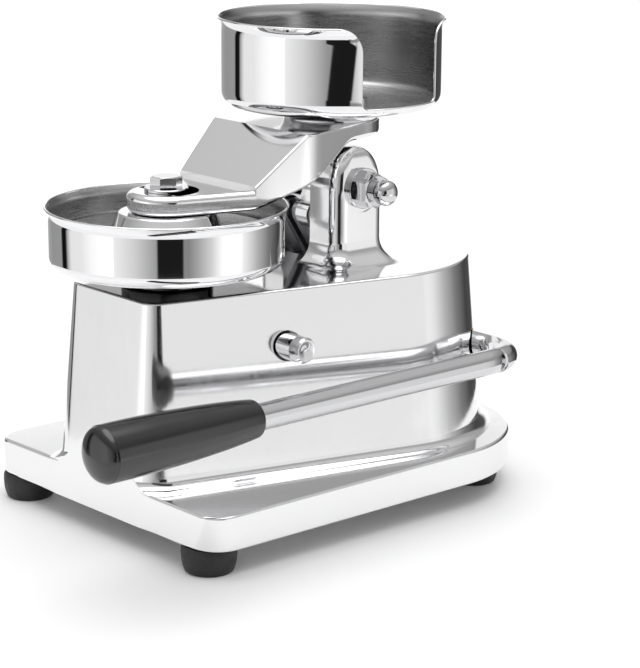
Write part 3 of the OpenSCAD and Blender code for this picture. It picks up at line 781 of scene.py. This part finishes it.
def build_side_pin():
    line = [(0, 74.4), (2.0, 75.0), (4.8, 76.2), (6.4, 76.2), (7.5, 75.0), (7.5, 70.0), (7.42, 69.8),
            (7.42, 69.4),
            (7.5, 69.2), (7.5, -60.0), (6.5, -61.0), (0, -61.0)]
    points, faces = across(lathe(line, 72), SIDE_PIN, 0, -1)
    add_mesh("turned_pin", points, faces, "base", ["side_pin"], "plated_steel", LOOKS["plated_steel"],
             sharp=25)


def build_lever():
    z = SHAFT[1]
    bend = [(SHAFT[0] - 20 + x, LEVER_Y + 20 - y) for y, x in arc(0, 0, 20, 0, 90, 13)]
    path = [(SHAFT[0], y) for y in np.linspace(54.5, LEVER_Y + 22, 30)] + bend
    path += [(x, LEVER_Y) for x in np.linspace(SHAFT[0] - 22, -108, 40)]
    points, faces = tube([(x, y, z) for x, y in path], 7.5, 48)
    add_mesh("bent_rod", points, faces, "lever", ["lever_rod"], "plated_steel", LOOKS["plated_steel"],
             sharp=40)


def build_grip():
    length, shoulder, dome, tail_r, fat_r = 108.0, 3.0, 7.0, 10.8, 15.5
    share = np.linspace(0, 1, 36)
    radius = tail_r + (fat_r - tail_r) * np.sin(np.radians(100 * share ** 0.85))
    line = [(7.4, 0.0), (tail_r - shoulder, 0.0)]
    line += [(tail_r - shoulder + shoulder * math.sin(math.radians(a)),
              shoulder - shoulder * math.cos(math.radians(a))) for a in range(15, 91, 15)]
    line += [(r, shoulder + s * (length - shoulder - dome)) for s, r in zip(share[1:], radius[1:])]
    end = line[-1][0]
    line += [(end - 0.5, length - dome + 0.5)]
    line += [((end - 0.5) * math.cos(math.radians(a)),
              length - dome + 0.5 + (dome - 0.5) * math.sin(math.radians(a)))
             for a in range(8, 90, 8)]
    line.append((0, length))
    points, faces = lathe(line, 96)
    points = np.stack([-22.0 - points[:, 2], points[:, 0] + LEVER_Y, points[:, 1] + SHAFT[1]], 1)
    add_mesh("moulded_grip", points, faces, "lever", ["lever_grip"], "grip_plastic",
             LOOKS["grip_plastic"], sharp=40)


def build_feet():
    feet = []
    for x, y in ((-39, -85), (-39, 85), (183, -66), (183, 66)):
        line = [(0, 6.9), (8.0, 6.9), (8.0, 0.4), (8.4, 0.0), (12.6, 0.0), (13.6, 0.8), (14.6, 3.5),
                (15.3, 7.0), (15.5, 10.5),
                (15.4, 13.8), (14.8, FOOT_H - 0.05), (0, FOOT_H - 0.05)]
        points, faces = lathe(line, 72)
        feet.append((moved(points, (x, y, 0)), faces))
    add_mesh("moulded_feet", *joined(*feet), "base", ["rubber_feet"], "foot_rubber",
             LOOKS["foot_rubber"], sharp=40)


def build_necks():
    line = [(9.1, 0), (28.0, 0), (26.6, 1.2), (26.2, 3.0), (26.2, 8.0), (28.0, 9.95), (9.1, 9.95)]
    points, faces = lathe(line, 96, closed=True)
    # The neck under the lower bowl wears painted shade: the darkened steel.
    add_mesh("turned_neck", moved(points, (0, 0, BODY_TOP)), faces, "base", ["bowl_neck"], "polished_steel",
             LOOKS["painted_shade_steel"])
    line = [(0, 0), (27.6, 0), (28.0, 0.5), (28.6, 3.5), (30.4, 6.0), (34.0, 7.6), (34.0, 7.97), (0, 7.97)]
    points, faces = lathe(line, 96)
    add_mesh("flared_neck", moved(points, (HOLDER_X, 0, BLOCK_TOP)), faces, "press_arm", ["holder_neck"],
             "polished_steel", LOOKS["polished_steel"])


build_arm()
build_presser()
build_axle_ends()
build_side_pin()
build_lever()
build_grip()
build_feet()
build_necks()

# ---------------------------------------------------------------- camera, light and stage


def add_camera():
    data = bpy.data.cameras.new("camera")
    camera = bpy.data.objects.new("camera", data)
    bpy.context.scene.collection.objects.link(camera)
    data.lens = 125.1
    data.sensor_width = 36.0
    data.clip_start, data.clip_end = 0.05, 50.0
    heading, down, roll = math.radians(48.37), math.radians(14.43), math.radians(0.39)
    forward = Vector((math.cos(down) * math.cos(heading), math.cos(down) * math.sin(heading),
                      -math.sin(down)))
    right = Vector((math.sin(heading), -math.cos(heading), 0))
    up = right.cross(forward)
    tilted_right = right * math.cos(roll) + up * math.sin(roll)
    tilted_up = up * math.cos(roll) - right * math.sin(roll)
    turn = Matrix((tilted_right, tilted_up, -forward)).transposed()
    spot = Vector((-787.05, -1016.29, 424.95 + FOOT_H)) + ORIGIN
    camera.matrix_world = Matrix.Translation(spot * MM) @ turn.to_4x4()
    bpy.context.scene.camera = camera


def add_stage():
    steps, radius = 128, 0.35
    turns = np.arange(steps) * TAU / steps
    rim = [(radius * math.cos(t), radius * math.sin(t), 0) for t in turns]
    mesh = bpy.data.meshes.new("floor")
    mesh.from_pydata(rim, [], [tuple(range(steps))])
    floor = bpy.data.objects.new("floor", mesh)
    bpy.context.scene.collection.objects.link(floor)
    material, tree, shader = new_material("floor_paint", (0.93, 0.93, 0.93), 0.0, 0.6)
    tree.links.new(spread(tree, noise(tree, 2.0), 0.55, 0.65), shader.inputs["Roughness"])
    shader.inputs["Emission Color"].default_value = (1, 1, 1, 1)
    shader.inputs["Emission Strength"].default_value = 0.05
    mesh.materials.append(material)


def calc(tree, operation, a, b=0.0):
    """One maths node over sockets or numbers."""
    node = tree.nodes.new("ShaderNodeMath")
    node.operation = operation
    for place, value in enumerate((a, b)):
        if isinstance(value, (int, float)):
            node.inputs[place].default_value = value
        else:
            tree.links.new(value, node.inputs[place])
    return node.outputs["Value"]


def ease(tree, source, start, end, low=0.0, high=1.0):
    """Runs from low to high as the source runs from start to end, and stays level outside."""
    node = tree.nodes.new("ShaderNodeMapRange")
    for name, value in (("From Min", start), ("From Max", end), ("To Min", low), ("To Max", high)):
        node.inputs[name].default_value = value
    tree.links.new(source, node.inputs["Value"])
    return node.outputs["Result"]


def blended(tree, share, a, b):
    """a where the share is 0 and b where it is 1."""
    return calc(tree, "ADD", calc(tree, "MULTIPLY", a, calc(tree, "SUBTRACT", 1.0, share)),
                calc(tree, "MULTIPLY", b, share))


# How bright the studio looks by compass direction, in degrees, where the reflections in the side walls look.
STUDIO = [(-180, 1.0), (-160, 0.88), (-136, 0.62), (-107, 0.55), (-97, 0.70), (-84, 0.88),
          (-72, 1.1), (-62, 1.3), (-48, 1.0), (-30, 0.74), (-12, 0.5), (8, 0.28), (28, 0.32),
          (34, 1.06), (67, 1.06), (72, 0.68), (88, 0.60), (110, 0.62), (112, 0.10), (119, 0.10),
          (121, 0.66), (127, 0.96), (142, 0.97), (154, 1.05), (168, 1.1)]


def linear(shown):
    """The light behind a brightness as it shows on a screen."""
    return shown ** 2.2


def add_world():
    world = bpy.data.worlds.new("studio")
    bpy.context.scene.world = world
    world.use_nodes = True
    tree = world.node_tree
    coords = tree.nodes.new("ShaderNodeTexCoord")
    split = tree.nodes.new("ShaderNodeSeparateXYZ")
    tree.links.new(coords.outputs["Generated"], split.inputs["Vector"])
    degrees = 180 / math.pi
    heading = calc(tree, "MULTIPLY", calc(tree, "ARCTAN2", split.outputs["Y"], split.outputs["X"]), degrees)
    height = calc(tree, "MULTIPLY", calc(tree, "ARCSINE", split.outputs["Z"]), degrees)
    ramp = tree.nodes.new("ShaderNodeValToRGB")
    tree.links.new(ease(tree, heading, -180, 180), ramp.inputs["Fac"])
    stops = ramp.color_ramp.elements
    stops.remove(stops[1])
    stops[0].position, stops[0].color = 0.0, (linear(STUDIO[0][1]),) * 3 + (1,)
    for angle, value in STUDIO[1:]:
        stop = stops.new((angle + 180) / 360)
        stop.color = (linear(value),) * 3 + (1,)
    # A tall dark screen beside the camera leans to the right as it rises.
    leaned = calc(tree, "SUBTRACT", heading, ease(tree, height, -9, -5.5, -4, 10))
    screen = calc(tree, "MULTIPLY", ease(tree, leaned, -134, -132), ease(tree, leaned, -107, -109))
    # A softer panel faces the lever side above the bowl's reflections.
    facing = calc(tree, "MULTIPLY", ease(tree, heading, -118, -102), ease(tree, heading, -40, -55))
    panel = calc(tree, "MULTIPLY", facing, ease(tree, height, -10.8, -9.2))
    lit = blended(tree, panel, ramp.outputs["Color"], linear(0.95))
    around = blended(tree, screen, lit, 0.012)
    below = ease(tree, height, -18, -19.5)
    low_part = blended(tree, below, around, 1.05)
    wall_top = ease(tree, height, 26, 42, linear(0.66), linear(0.82))
    ceiling = calc(tree, "ADD", wall_top, ease(tree, height, 52, 64, 0.0, 2.0))
    sky = blended(tree, ease(tree, height, 16, 21), low_part, ceiling)
    tree.links.new(sky, tree.nodes["Background"].inputs["Color"])
    tree.nodes["Background"].inputs["Strength"].default_value = 1.0


add_camera()
add_stage()
add_world()
bpy.context.scene.view_settings.view_transform = "Standard"
